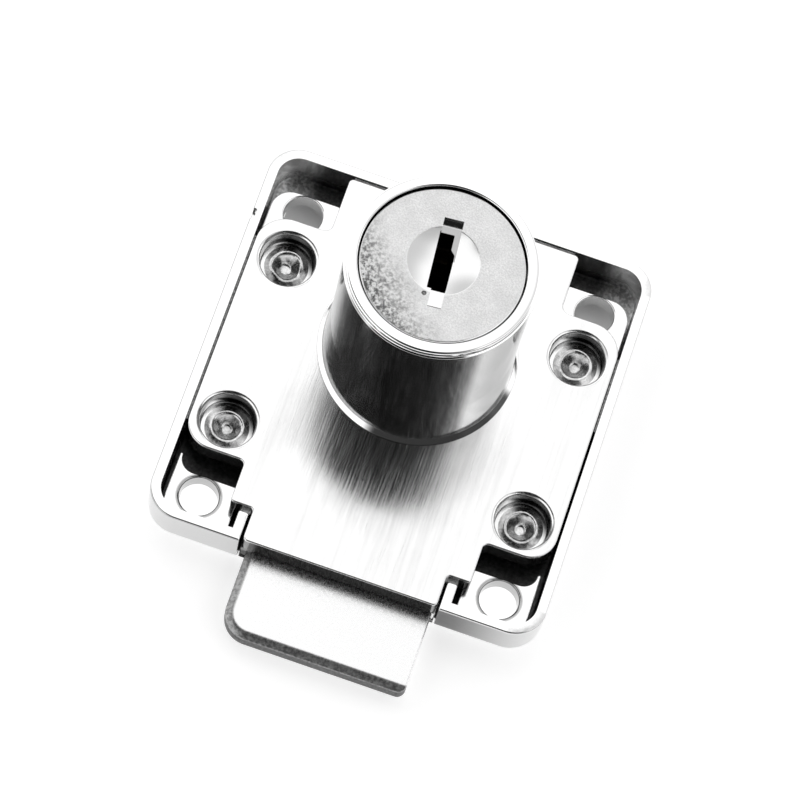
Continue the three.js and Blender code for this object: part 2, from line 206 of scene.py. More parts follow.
def hole(name, x, y, z0, z1, radius, rim=0.15, foot=None, segments=64):
    """A cutter for a round hole with a rounded rim at z1; foot is (radius, height) of a sink."""
    profile = [(0, z0 - 1)]
    if foot:
        profile += [(foot[0] + foot[0] - radius, z0 - (foot[0] - radius)), (radius, z0 + foot[1])]
    else:
        profile += [(radius, z0 - 1)]
    for k in range(7):
        a = k / 6 * math.pi / 2
        profile.append((radius + rim * (1 - math.cos(a)), z1 - rim * (1 - math.sin(a))))
    profile += [(radius + rim, z1 + 1), (0, z1 + 1)]
    if foot:
        profile[0] = (0, profile[1][1])
    return turned(name, profile, segments, (x, y))


def bake(obj):
    """Turns an object's modifiers into its mesh."""
    bpy.context.view_layer.update()
    graph = bpy.context.evaluated_depsgraph_get()
    mesh = bpy.data.meshes.new_from_object(obj.evaluated_get(graph))
    obj.modifiers.clear()
    obj.data = mesh


def combine(obj, others, operation):
    for other in others:
        modifier = obj.modifiers.new(operation.lower(), "BOOLEAN")
        modifier.operation = operation
        modifier.solver = "MANIFOLD"
        modifier.object = other
    bake(obj)
    for other in others:
        bpy.data.objects.remove(other)
    return obj


def add(obj, *others):
    return combine(obj, others, "UNION")


def cut(obj, *others):
    return combine(obj, others, "DIFFERENCE")


def spun(obj, angle):
    obj.data.transform(Matrix.Rotation(angle, 4, "Z"))
    return obj


def dress(obj, material, body, slot, *nodes, sharp=32):
    """Shades a finished piece and puts it in the frame."""
    mesh = obj.data
    mesh.polygons.foreach_set("use_smooth", [True] * len(mesh.polygons))
    mesh.set_sharp_from_angle(angle=sharp * DEG)
    weighted = obj.modifiers.new("weighted", "WEIGHTED_NORMAL")
    weighted.keep_sharp = True
    mesh.materials.clear()
    mesh.materials.append(material)
    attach(obj, body)
    if nodes:
        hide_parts(*nodes)
    return obj


# ---------------------------------------------------------------- materials


class Nodes:
    """A short way to write a material's nodes."""

    def __init__(self, tree):
        self.tree = tree
        self.tree.nodes.clear()

    def add(self, kind, **settings):
        node = self.tree.nodes.new(kind)
        for key, value in settings.items():
            setattr(node, key, value)
        return node

    def link(self, source, target):
        self.tree.links.new(source, target)

    def put(self, value, socket):
        if hasattr(value, "is_output"):
            self.link(value, socket)
        else:
            socket.default_value = value

    def math(self, operation, a, b=0.0):
        node = self.add("ShaderNodeMath", operation=operation)
        self.put(a, node.inputs[0])
        self.put(b, node.inputs[1])
        return node.outputs[0]

    def squares(self, a, b):
        """The sum of the squares of two values."""
        return self.math("ADD", self.math("MULTIPLY", a, a), self.math("MULTIPLY", b, b))

    def noise(self, vector, scale, detail=4.0, roughness=0.55, distortion=0.0):
        node = self.add("ShaderNodeTexNoise")
        self.link(vector, node.inputs["Vector"])
        node.inputs["Scale"].default_value = scale
        node.inputs["Detail"].default_value = detail
        node.inputs["Roughness"].default_value = roughness
        node.inputs["Distortion"].default_value = distortion
        return node.outputs[0]

    def span(self, value, low, high, to_low, to_high, smooth=False):
        node = self.add("ShaderNodeMapRange")
        if smooth:
            node.interpolation_type = "SMOOTHSTEP"
        self.put(value, node.inputs[0])
        for index, number in enumerate((low, high, to_low, to_high)):
            node.inputs[index + 1].default_value = number
        return node.outputs[0]

    def mix(self, factor, one, two):
        node = self.add("ShaderNodeMix", data_type="RGBA")
        self.put(factor, node.inputs[0])
        self.put(one, node.inputs[6])
        self.put(two, node.inputs[7])
        return node.outputs[2]

    def stretched(self, scale, rotation=(0, 0, 0)):
        """Object coordinates in millimetres, scaled along each axis."""
        coords = self.add("ShaderNodeTexCoord")
        mapping = self.add("ShaderNodeMapping")
        mapping.inputs["Rotation"].default_value = rotation
        mapping.inputs["Scale"].default_value = [s / MM for s in scale]
        self.link(coords.outputs["Object"], mapping.inputs["Vector"])
        return mapping.outputs[0]

    def axes(self):
        """Object coordinates in millimetres, one output per axis."""
        split = self.add("ShaderNodeSeparateXYZ")
        self.link(self.stretched((1, 1, 1)), split.inputs[0])
        return split.outputs

    def bump(self, height, strength, distance, normal=None):
        node = self.add("ShaderNodeBump")
        node.inputs["Strength"].default_value = strength
        node.inputs["Distance"].default_value = distance * MM
        self.link(height, node.inputs["Height"])
        if normal:
            self.link(normal, node.inputs["Normal"])
        return node.outputs[0]

    def finish(self, colour, roughness, normal):
        shader = self.add("ShaderNodeBsdfPrincipled")
        shader.inputs["Metallic"].default_value = 1.0
        self.put(colour, shader.inputs["Base Color"])
        self.put(roughness, shader.inputs["Roughness"])
        self.link(normal, shader.inputs["Normal"])
        output = self.add("ShaderNodeOutputMaterial")
        self.link(shader.outputs[0], output.inputs["Surface"])


def new_material(name):
    material = bpy.data.materials.new(name)
    material.use_nodes = True
    return material, Nodes(material.node_tree)


def grey(value, warm=0.0):
    return (value + warm, value, value - warm, 1.0)


def case_material():
    """Polished casting with a faint ripple.

    The tones of its pockets, groove, outer wall, hole rings and rim edge are painted shade,
    lightened in the upper corners by painted reflection. The tones of its pockets, groove,
    outer wall, hole rings and rim edge are painted to look as they do in the photograph. What
    causes them on the real lock isn't known.
    """
    material, n = new_material("plated casting")
    x, y, z = n.axes()
    even = n.stretched((1, 1, 1))
    ripple = n.noise(even, 0.35, 3.0)
    grain = n.noise(even, 3.0, 4.0)
    # How far a point lies beyond the straight part of the outline, with its rounded corners.
    beyond_x = n.math("SUBTRACT", n.math("ABSOLUTE", x), case_high.x - CASE_CORNER)
    middle_y, half_y = (case_high.y + case_low.y) / 2, (case_high.y - case_low.y) / 2
    from_middle = n.math("ABSOLUTE", n.math("SUBTRACT", y, middle_y))
    beyond_y = n.math("SUBTRACT", from_middle, half_y - CASE_CORNER)
    corner_x, corner_y = n.math("MAXIMUM", beyond_x, 0.0), n.math("MAXIMUM", beyond_y, 0.0)
    edge = n.math("SQRT", n.squares(corner_x, corner_y))
    # Pockets inside the case are painted near black: painted shade in the recesses, darkest lowest.
    deep = n.span(z, 1.3, 3.3, 1.0, 0.0, smooth=True)
    above = n.math("GREATER_THAN", z, 0.35)
    pocket = n.math("MULTIPLY", n.math("LESS_THAN", edge, 2.6), deep)
    pocket = n.math("MULTIPLY", pocket, above)
    # The screw holes' walls stay as bright as the rim.
    across = n.math("SUBTRACT", n.math("ABSOLUTE", x), SCREW_X)
    along = n.math(
        "MINIMUM", n.math("ABSOLUTE", n.math("SUBTRACT", y, SCREW_UPPER)),
        n.math("ABSOLUTE", n.math("SUBTRACT", y, SCREW_LOWER)),
    )
    reach = n.squares(across, along)
    pocket = n.math("MULTIPLY", pocket, n.math("GREATER_THAN", reach, (SCREW_RADIUS + 0.1) ** 2))
    # The outer wall is painted grey, and dark at the right of the bolt's opening: painted shade.
    outside = n.math("GREATER_THAN", edge, CASE_CORNER - 0.1)
    wall = n.math("MULTIPLY", outside, n.span(z, TOP - 0.4, TOP - 0.15, 1.0, 0.0))
    opening_shade = n.math("MULTIPLY", n.math("LESS_THAN", y, -20), n.span(x, 10.5, 20, 1.0, 0.0, True))
    opening_shade = n.math("MULTIPLY", opening_shade, n.math("GREATER_THAN", x, 0))
    plated = n.mix(n.span(grain, 0.35, 0.75, 0.0, 1.0), grey(0.9), grey(0.85))
    wall_colour = n.mix(opening_shade, grey(0.68), grey(0.1))
    pocket_shade = n.mix(n.span(grain, 0.35, 0.7, 0.0, 1.0), grey(0.05), grey(0.12))
    # In the upper corners the painted pocket shade is lightened and mottled: a painted reflection.
    corner = n.span(n.math("ABSOLUTE", x), 15.0, 17.6, 0.0, 1.0, True)
    corner = n.math("MULTIPLY", corner, n.span(y, 4, 9, 0.0, 1.0))
    mottled_reflection = n.mix(n.span(grain, 0.42, 0.6, 0.0, 1.0), grey(0.42), grey(0.8))
    pocket_shade = n.mix(corner, pocket_shade, mottled_reflection)
    colour = n.mix(wall, n.mix(pocket, plated, pocket_shade), wall_colour)
    # A grey ring round each lower screw hole: a painted shade at the hole's rim.
    ring = n.span(reach, (SCREW_RADIUS + 0.3) ** 2, (SCREW_RADIUS + 0.45) ** 2, 1.0, 0.0)
    ring = n.math("MULTIPLY", ring, n.math("LESS_THAN", y, 0))
    colour = n.mix(ring, colour, grey(0.42))
    # The groove beside the plate is painted dark grey, a painted shade, and light where y is above
    # 14.
    groove = n.math("MULTIPLY", n.math("LESS_THAN", edge, 2.7), n.math("GREATER_THAN", edge, 2.05))
    groove = n.math("MULTIPLY", groove, n.span(z, TOP - 0.4, TOP - 0.25, 1.0, 0.0))
    groove = n.math("MULTIPLY", groove, n.math("GREATER_THAN", z, 3.3))
    beside = n.math("LESS_THAN", n.math("ABSOLUTE", n.math("ADD", y, 4.2)), 11.3)
    beside = n.math("MAXIMUM", beside, n.math("LESS_THAN", n.math("ABSOLUTE", x), 12.3))
    groove = n.math("MULTIPLY", groove, beside)
    groove_shade = n.mix(n.span(grain, 0.4, 0.62, 0.0, 1.0), grey(0.08), grey(0.24))
    groove_shade = n.mix(n.math("GREATER_THAN", y, 14), groove_shade, grey(0.8))
    colour = n.mix(groove, colour, groove_shade)
    # A grey line along the rim's outer edge, fainter towards the right: a painted shade.
    line = n.span(edge, CASE_CORNER - 0.14, CASE_CORNER - 0.06, 0.0, 1.0)
    line = n.math("MULTIPLY", line, n.math("GREATER_THAN", z, TOP - 0.3))
    line = n.math("MULTIPLY", line, n.span(x, -10, 10, 1.0, 0.35))
    colour = n.mix(line, colour, grey(0.5))
    roughness = n.math("ADD", n.span(grain, 0.3, 0.7, 0.1, 0.18), n.math("MULTIPLY", pocket, 0.3))
    low = n.bump(ripple, 0.2, 0.2)
    n.finish(colour, roughness, n.bump(grain, 0.05, 0.02, low))
    return material


def brushed_material(name, light, dark, rough, depth, along=(9, 0.22, 0.22)):
    """Metal brushed along one axis, with broad soft streaks.

    The grey of its side edges and the dark of its recesses' far walls are painted shade.
    """
    material, n = new_material(name)
    fine = n.noise(n.stretched(along), 1.0, 5.0, 0.6)
    broad = n.noise(n.stretched([a * 0.16 for a in along]), 1.0, 3.0, 0.5)
    cloud = n.noise(n.stretched((1, 1, 1)), 0.12, 2.0)
    streak = n.math("MULTIPLY", fine, broad)
    colour = n.mix(n.span(streak, 0.1, 0.42, 0.0, 1.0), grey(dark), grey(light))
    x, y, z = n.axes()
    edge = n.span(z, TOP - 0.3, TOP - 0.12, 1.0, 0.0, smooth=True)
    # The plate's side edge is painted grey, a painted shade darker below y = -12, and the rivets'
    # recesses are left bright.
    across = n.math("SUBTRACT", n.math("ABSOLUTE", x), RIVET_X)
    middle = n.math("SUBTRACT", y, (RIVET_UPPER + RIVET_LOWER) / 2)
    upward = n.math("SUBTRACT", n.math("ABSOLUTE", middle), (RIVET_UPPER - RIVET_LOWER) / 2)
    reach = n.squares(across, upward)
    inside = n.math("LESS_THAN", reach, (RECESS_RADIUS + RECESS_ROUND + 0.03) ** 2)
    side = n.math("MULTIPLY", edge, n.math("SUBTRACT", 1.0, inside))
    colour = n.mix(side, colour, n.mix(n.span(y, -16, -12, 0.0, 1.0), grey(0.3), grey(0.6)))
    # The recesses' far walls are painted dark: a painted shade.
    across = n.math("MULTIPLY", across, n.math("SIGN", x))
    upward = n.math("MULTIPLY", upward, n.math("SIGN", middle))
    far = n.math("ADD", n.math("MULTIPLY", across, 0.5), n.math("MULTIPLY", upward, 0.86))
    far = n.span(far, 0.6, 2.2, 0.0, 1.0, True)
    far = n.math("MULTIPLY", far, n.math("MULTIPLY", edge, inside))
    colour = n.mix(far, colour, grey(0.1))
    roughness = n.math("ADD", n.span(fine, 0.3, 0.7, rough - 0.06, rough + 0.08), n.span(
        cloud, 0.3, 0.7, -0.03, 0.05))
    n.finish(colour, roughness, n.bump(fine, depth, 0.03))
    return material


def barrel_material():
    """Turned and polished, with faint upright draw marks."""
    material, n = new_material("polished barrel")
    draw = n.noise(n.stretched((2.2, 2.2, 0.12)), 1.0, 4.0, 0.6)
    spots = n.noise(n.stretched((1, 1, 0.4)), 0.6, 3.0, 0.5, 0.6)
    x, y, z = n.axes()
    wall = n.span(z, LIP_TOP - 1.2, LIP_TOP - 1.0, 1.0, 0.0)
    wall = n.math("MULTIPLY", wall, n.span(z, TOP + 0.45, TOP + 0.55, 0.0, 1.0))
    # Where the barrel meets the plate, its foot is painted near black: a painted shade in the
    # crevice.
    crevice = n.span(z, TOP + 0.06, TOP + 0.12, 1.0, 0.0)
    # The left side is painted dark and the right side light: painted reflections.
    side = n.math("ADD", n.math("MULTIPLY", x, 0.9), n.math("MULTIPLY", y, -0.25))
    colour = n.mix(n.span(draw, 0.3, 0.7, 0.0, 1.0), grey(0.3), grey(0.5))
    left = n.mix(n.span(draw, 0.3, 0.7, 0.0, 1.0), grey(0.08), grey(0.2))
    colour = n.mix(n.span(side, -7.5, 0.5, 0.0, 1.0, True), left, colour)
    right = n.math("ADD", n.math("MULTIPLY", x, 0.766), n.math("MULTIPLY", y, 0.643))
    colour = n.mix(n.span(right, -0.4, 0.9, 0.0, 1.0, True), colour, grey(0.82))
    colour = n.mix(crevice, n.mix(wall, grey(0.9), colour), grey(0.03))
    uneven = n.math("ADD", n.span(spots, 0.35, 0.7, 0.0, 0.06), n.span(draw, 0.3, 0.7, 0, 0.05))
    roughness = n.math("ADD", 0.07, n.math("MULTIPLY", wall, uneven))
    n.finish(colour, roughness, n.bump(n.math("MULTIPLY", draw, wall), 0.08, 0.04))
    return material


def plug_material():
    """A grained face with a smooth dish and slot; one side is coarser, with painted shade."""
    material, n = new_material("grained plug")
    x, y, z = n.axes()
    even = n.stretched((1, 1, 1))
    grain = n.noise(even, 5.5, 4.0, 0.7)
    coarse = n.noise(even, 2.6, 4.0, 0.7)
    blotch = n.noise(even, 0.5, 3.0)
    # The dish and the slot lie below the face, and are smooth.
    smooth = n.span(z, FACE - 0.015, FACE - 0.005, 1.0, 0.0)
    # The lower-left side has a coarser grain and is painted darker: a painted shade.
    side = n.math("ADD", n.math("MULTIPLY", x, -0.75), n.math("MULTIPLY", y, -0.66))
    rough = n.span(n.math("ADD", side, n.math("MULTIPLY", blotch, 3.0)), 4.2, 9.2, 0.0, 1.0, True)
    rough = n.math("MULTIPLY", rough, n.math("SUBTRACT", 1.0, smooth))
    dark = n.mix(n.span(coarse, 0.42, 0.58, 0.0, 1.0), grey(0.12), grey(0.78))
    pale = n.mix(n.span(grain, 0.4, 0.62, 0.0, 1.0), grey(0.76), grey(0.94))
    pale = n.mix(n.span(blotch, 0.4, 0.62, 0.0, 0.25), pale, grey(0.6))
    face = n.mix(rough, pale, dark)
    colour = n.mix(smooth, face, grey(0.8))
    # The slot's floor is painted grey at its upper end: a painted shade.
    floor = n.math("MULTIPLY", n.span(z, FACE - 0.49, FACE - 0.47, 1.0, 0.0), n.span(y, 0, 1, 0, 1))
    colour = n.mix(floor, colour, grey(0.42))
    # Below the face, inside the keyway, the plug is painted near black: a painted shade.
    inner = n.span(z, FACE - 2.2, FACE - 1.5, 1.0, 0.0, smooth=True)
    colour = n.mix(inner, colour, grey(0.02))
    roughness = n.math("SUBTRACT", 0.42, n.math("MULTIPLY", smooth, 0.28))
    height = n.math("MULTIPLY", grain, n.math("SUBTRACT", 1.0, smooth))
    n.finish(colour, roughness, n.bump(height, 0.5, 0.06))
    return material


def speckled_material(name, light, dark, rough, scale=3.0, depth=0.25, warm=0.0):
    """Plain metal with a fine grain."""
    material, n = new_material(name)
    even = n.stretched((1, 1, 1))
    grain = n.noise(even, scale, 5.0, 0.65)
    cloud = n.noise(even, scale * 0.16, 3.0)
    blend = n.math("MULTIPLY", n.math("ADD", grain, cloud), 0.5)
    colour = n.mix(n.span(blend, 0.38, 0.6, 0.0, 1.0), grey(dark, warm), grey(light, warm))
    roughness = n.span(grain, 0.3, 0.7, rough - 0.07, rough + 0.08)
    n.finish(colour, roughness, n.bump(grain, depth, 0.03))
    return material


def bolt_material():
    """Satin metal; its bevel and the wall below are speckled and painted darker, as painted shade.
    """
    material, n = new_material("satin bolt")
    x, y, z = n.axes()
    grain = n.noise(n.stretched((1, 1, 1)), 3.2, 5.0, 0.65)
    # How far a point lies beyond the centre of the tongue's large corner.
    beyond_x = n.math("MAXIMUM", n.math("SUBTRACT", TONGUE_LEFT + TONGUE_CORNER, x), 0.0)
    beyond_y = n.math("MAXIMUM", n.math("SUBTRACT", bolt_low.y + TONGUE_CORNER, y), 0.0)
    edge = n.math("SQRT", n.squares(beyond_x, beyond_y))
    bevel = n.span(edge, 1.85, 2.2, 0.0, 1.0, True)
    speck = n.span(grain, 0.42, 0.6, 0.0, 1.0)
    # The bevel and the wall below it are painted dark and speckled: painted shade, darkest on the
    # wall.
    rough = n.mix(n.span(z, bolt_high.z - 0.65, bolt_high.z - 0.45, 1.0, 0.0),
                  n.mix(speck, grey(0.22), grey(0.44)), n.mix(speck, grey(0.06), grey(0.16)))
    colour = n.mix(bevel, n.mix(speck, grey(0.86), grey(0.98)), rough)
    roughness = n.math("ADD", n.span(grain, 0.3, 0.7, 0.2, 0.34), n.math("MULTIPLY", bevel, 0.15))
    n.finish(colour, roughness, n.bump(grain, 0.12, 0.03))
    return material


# ---------------------------------------------------------------- case


def make_case():
    half = case_high.x
    low, high = case_low.y, case_high.y
    back, wall, floor, rim, inner_rim = 1.5, 1.05, 1.2, 0.15, 0.16
    outer = box_points(-half, half, low, high, CASE_CORNER, 16)
    levels = arc_levels(back, 0, True, 8)
    levels += arc_levels(rim, TOP, False)
    inner_edge = [k / 4 * math.pi / 2 for k in range(4, -1, -1)]
    levels += [(wall - inner_rim * math.cos(a), TOP - inner_rim * (1 - math.sin(a)))
               for a in inner_edge]
    levels += [(wall, floor + 0.3), (wall + 0.09, floor + 0.09), (wall + 0.3, floor)]
    case = slab("lock_case", outer, levels)
    inside_low = low + wall / 2
    sunk = 0.6  # pads, ribs and bosses start inside the floor
    pad_top, boss_top, boss_radius = PLATE_FOOT - 0.02, 3.38, 2.9
    channel_half, channel_end = 10.5, 13
    posts = []
    for side in (-1, 1):
        inner, outer, lower_outer, step = (side * x for x in (12.1, 19.45, 19.2, 18.8))
        upper = [(inner, 6, 0.6), (outer, 6, 0.6), (outer, 13.5, 2.2), (inner, 13.5, 0.6)]
        lower = [
            (inner, inside_low, 0.7), (lower_outer, inside_low, 0.7), (lower_outer, -17.8, 0.16),
            (step, -17.8, 0.16), (step, -19.5, 1.5), (inner, -19.5, 0.7),
        ]
        for corners in (upper, lower):
            pad = rounded(corners[::side], 8)
            posts.append(soft_slab("pad", pad, sunk, pad_top, top=0.14))
        r0, r1 = sorted((side * channel_half, side * (channel_half + 1)))
        rib = box_points(r0, r1, inside_low, channel_end, 0.05, 2)
        posts.append(soft_slab("rib", rib, sunk, 3.3, top=0.1))
        post = box_points(r0, r1, inside_low, -22.55, 0.18, 4)
        posts.append(soft_slab("post", post, sunk, TOP, top=0.12))
    # A guess, which the CAD doesn't have: a ledge in the gap round the plate, where the photograph
    # shows grey and not black.
    ledge = TOP - 0.45
    for x0, x1, y0, y1 in (
        (-19.85, -19.53, -15, 6.5), (19.53, 19.85, -2, 6.5),
        (-12, 12, high - wall - 0.32, high - 1),
    ):
        posts.append(soft_slab("ledge", box_points(x0, x1, y0, y1, 0.05, 2), 1.0, ledge, top=0.05))
    for x, y in RIVETS.values():
        boss = [(0, sunk), (boss_radius, sunk), (boss_radius, boss_top - 0.08),
                (boss_radius - 0.08, boss_top), (0, boss_top)]
        posts.append(turned("boss", boss, 48, (x, y)))
    add(case, *posts)
    channel = box_points(-channel_half, channel_half, low - 1, channel_end)
    flare = [(0.0, 0.7), (0.0, TOP - 0.12), (-0.02, TOP - 0.06), (-0.12, TOP), (-0.12, TOP + 1)]
    cutters = [slab("channel", channel, flare)]
    # A small nick in the rim's outer edge, as photographed. The CAD doesn't have it.
    nick = box_points(-21.3, -20.32, 8.0, 9.2, 0.2, 3)
    cutters.append(slab("nick", nick, [(0.15, TOP - 0.9), (0, TOP - 0.6), (0, TOP + 1)]))
    for x, y in SCREWS:
        cutters.append(hole("screw_hole", x, y, 0, pad_top, SCREW_RADIUS, 0.26, (3.2, 1.4)))
    for x, y in RIVETS.values():
        cutters.append(hole("rivet_hole", x, y, 0, boss_top, 1.7, 0.05, (2.4, 0.8), 32))
    return cut(case, *cutters)


def make_plate():
    half, top, bottom = plate_high.x, plate_high.y, plate_low.y

    mouth_half, lower_half, upper_half = 10.2, 12.65, 12.5
    step, ear_low, ear_high = -21.9, -17.4, 9.35

    def side(s):
        return [
            (s * mouth_half, bottom, 0.5), (s * mouth_half, step, 0.4), (s * lower_half, step, 0.3),
            (s * lower_half, ear_low, 0.6), (s * half, ear_low, 2.8), (s * half, ear_high, 3.2),
            (s * upper_half, ear_high, 0.9), (s * upper_half, top, 0.5),
        ]

    outline = rounded(side(1) + side(-1)[::-1], 10)
    plate = soft_slab("cover_plate_face", outline, PLATE_FOOT, TOP, bottom=0.05, top=0.16)
    cutters = [
        turned("seat", [(0, 0), (8.0, 0), (8.0, TOP + 1), (0, TOP + 1)]),
        turned("flange", [(0, 0), (9.1, 0), (9.1, PLATE_FOOT + 0.85), (0, PLATE_FOOT + 0.85)]),
    ]
    for x, y in RIVETS.values():
        floor = TOP - RECESS_DEPTH
        recess = [(0, floor), (RECESS_RADIUS - 0.2, floor), (RECESS_RADIUS - 0.05, floor + 0.15),
                  (RECESS_RADIUS, floor + 0.3)]
        recess += [
            (RECESS_RADIUS + RECESS_ROUND * (1 - math.cos(a * 10 * DEG)),
             TOP - RECESS_ROUND * (1 - math.sin(a * 10 * DEG)))
            for a in range(10)
        ]
        recess += [(RECESS_RADIUS + RECESS_ROUND, TOP + 1), (0, TOP + 1)]
        cutters.append(turned("recess", recess, 64, (x, y)))
        shank = [(0, 0), (1.65, 0), (1.65, TOP), (0, TOP)]
        cutters.append(turned("shank", shank, 32, (x, y)))
    return cut(plate, *cutters)


def make_barrel():
    foot = PLATE_FOOT + 0.1
    seat = TOP + 0.02
    # Radii, from the inside out, and the height of the step that the plug's head rests on.
    bore, spigot, face_bore, flange = 6.1, 7.9, 8.3, 8.9
    lip, wall, bead, flare, collar = 9.45, 9.5, 9.63, 9.8, 10.3
    shoulder = 25.3
    retainer_ring, ring_low, ring_high = 7.0, 8.2, 9.6
    profile = rounded([
        (bore, foot, 0.05), (flange, foot, 0.1), (flange, foot + 0.65, 0.1),
        (spigot, foot + 0.65, 0.05), (spigot, seat, 0.02), (collar, seat, 0.02),
        (collar, seat + 0.06, 0.03), (flare, seat + 0.5, 0.04), (wall, seat + 7, 0.5),
        (wall, LIP_TOP - 1.1, 0.05), (bead, LIP_TOP - 0.98, 0.03), (bead, LIP_TOP - 0.84, 0.04),
        (lip, LIP_TOP - 0.76, 0.04), (lip, LIP_TOP, 0.22), (face_bore, LIP_TOP, 0.16),
        (face_bore, shoulder, 0.1), (bore, shoulder, 0.05), (bore, ring_high, 0.03),
        (retainer_ring, ring_high, 0.03), (retainer_ring, ring_low, 0.03), (bore, ring_low, 0.03),
    ], 4)
    barrel = turned("lock_barrel", profile)
    broach = slab("broach", box_points(-2.9, 2.9, -7.15, 7.15), [(0, 10.1), (0, 25.8)])
    sweep = [k * 3 * DEG for k in range(-5, 66)]
    arc = [(7.8 * math.cos(a), 7.8 * math.sin(a)) for a in sweep]
    arc += [(6.05 * math.cos(a), 6.05 * math.sin(a)) for a in sweep[::-1]]
    groove = slab("stop_groove", arc, [(0, 24.45), (0, 25.8)])
    return cut(barrel, spun(broach, KEY_TURN), groove)


def make_dish(radius, depth, y):
    """A cutter for the shallow round hollow in the plug's face."""
    sphere = (radius ** 2 + depth ** 2) / (2 * depth)
    edge = math.asin(radius / sphere)
    profile = []
    for k in range(25):
        a = edge * k / 24
        profile.append((sphere * math.sin(a), FACE - depth + sphere * (1 - math.cos(a))))
    profile += [(radius + 0.02, FACE + 1), (0, FACE + 1)]
    return turned("dish", profile, 128, (0, y))


def make_slot_cutter(left, right, low, high, depth):
    """The slot's cutter: a flat floor that curves up at both ends."""
    points = [(low, FACE + 1)]
    for end, sign in ((low, 1), (high, -1)):
        curve = [(end + sign * (1 - math.cos(a * 10 * DEG)), FACE - depth * math.sin(a * 10 * DEG))
                 for a in range(10)]
        points += curve[::sign]
    points.append((high, FACE + 1))
    verts = [(x, y, z) for x in (left, right) for y, z in points]
    count = len(points)
    faces = [list(range(count))[::-1], [count + i for i in range(count)]]
    for i in range(count):
        j = (i + 1) % count
        faces.append([i, j, count + j, count + i])
    return mesh_object("slot", verts, faces)


def make_plug():
    head, head_radius, foot, edge = 25.35, 8.15, 3.5, 0.2
    profile = [(0, foot), (PLUG_BODY, foot), (PLUG_BODY, head), (head_radius - 0.15, head),
               (head_radius, head + 0.15)]
    profile += [
        (head_radius - edge * (1 - math.cos(a * 18 * DEG)),
         FACE - edge * (1 - math.sin(a * 18 * DEG)))
        for a in range(6)
    ]
    profile += [(0, FACE)]
    plug = turned("lock_plug", profile)
    pin_profile = [(0, 0.9), (PIN_RADIUS - 0.1, 0.9), (PIN_RADIUS, 1.0), (PIN_RADIUS, 4), (0, 4)]
    pin = turned("pin", pin_profile, 48, (0, -PIN_THROW))
    sweep = [k * 2 * DEG for k in range(-6, 7)]
    lug = [(7.6 * math.cos(a), 7.6 * math.sin(a)) for a in sweep]
    lug += [(5.8 * math.cos(a), 5.8 * math.sin(a)) for a in sweep[::-1]]
    add(plug, pin, slab("lug", lug, [(0, 24.55), (0, head + 0.3)]))
    left, right, length, shift = -1.0, 0.88, 6.2, 0.45
    low, high = shift - length / 2, shift + length / 2
    keyway = [
        (left, low, 0.08), (right, low, 0.12), (right + 0.05, high - 2.1, 0.3),
        (right - 0.4, high - 1.6, 0.2), (right - 0.4, high, 0.1), (left, high, 0.08),
    ]
    pit = turned("pit", [(0, FACE - 1.1), (0.2, FACE - 0.9), (0.3, FACE + 1), (0, FACE + 1)], 24,
                 (-1.12, -3.35))
    cutters = [
        make_dish(3.65, 0.34, shift),
        slab("keyway", rounded(keyway, 6), [(0, 10.2), (0, FACE + 1)]),
        make_slot_cutter(-0.9, 1.05, 0.0, 5.0, 0.5),
        make_slot_cutter(-0.55, 0.85, -4.6, 0.5, 0.5),
        pit,
    ]
    first_wafer, wafer_pitch = 23.4, 2
    for k in range(7):
        z = first_wafer - wafer_pitch * k
        wafer = box_points(-2.7, 2.7, -7, 7)
        cutters.append(slab("wafer_slot", wafer, [(0, z - 0.55), (0, z + 0.55)]))
        pocket = box_points(2.5, 4.05, -3.4, 3.0)
        cutters.append(slab("pocket", pocket, [(0, z - 0.67), (0, z + 0.67)]))
    cutters.append(slab("retainer_slot", box_points(-2.9, 7, -2.05, 2.05), [(0, 8.3), (0, 9.5)]))
    return cut(plug, *[spun(cutter, KEY_TURN) for cutter in cutters])


def make_bolt():
    z0, z1 = bolt_low.z, bolt_high.z
    end = bolt_low.y
    outline = box_points(TONGUE_LEFT, 15, end, -20, TONGUE_CORNER, 16)
    top = [(0, z1 - 0.52), (0.03, z1 - 0.45), (0.09, z1 - 0.38), (0.32, z1 - 0.2),
           (0.47, z1 - 0.11), (0.61, z1 - 0.05), (0.74, z1 - 0.015), (0.85, z1)]
    bolt = slab("dead_bolt", outline, arc_levels(0.15, z0, True) + top)
    # The right side has no bevel and a tighter corner.
    below = end - 0.002
    right_corner = 1
    side = rounded([(-20, below, 0), (TONGUE_RIGHT, below, right_corner),
                    (TONGUE_RIGHT, -21, 0), (-20, -21, 0)], 12)
    limit = [(0, z0 - 1)] + arc_levels(0.2, z1, False) + [(0.2, z1 + 1)]
    combine(bolt, [slab("right_side", side, limit)], "INTERSECT")
    body = box_points(-SHOULDER_HALF, SHOULDER_HALF, SHOULDER, bolt_high.y, 0.2, 3)
    add(bolt, soft_slab("bolt_body", body, z0, z1 - 0.002, bottom=0.1, top=0.1))
    reach = PIN_RADIUS + SLOT_SLACK
    slot = box_points(-6, 6, -PIN_THROW - reach, -PIN_THROW + reach, 1.0, 8)
    return cut(bolt, slab("cross_slot", slot, [(0, z0 - 1), (0, z1 + 1)]))


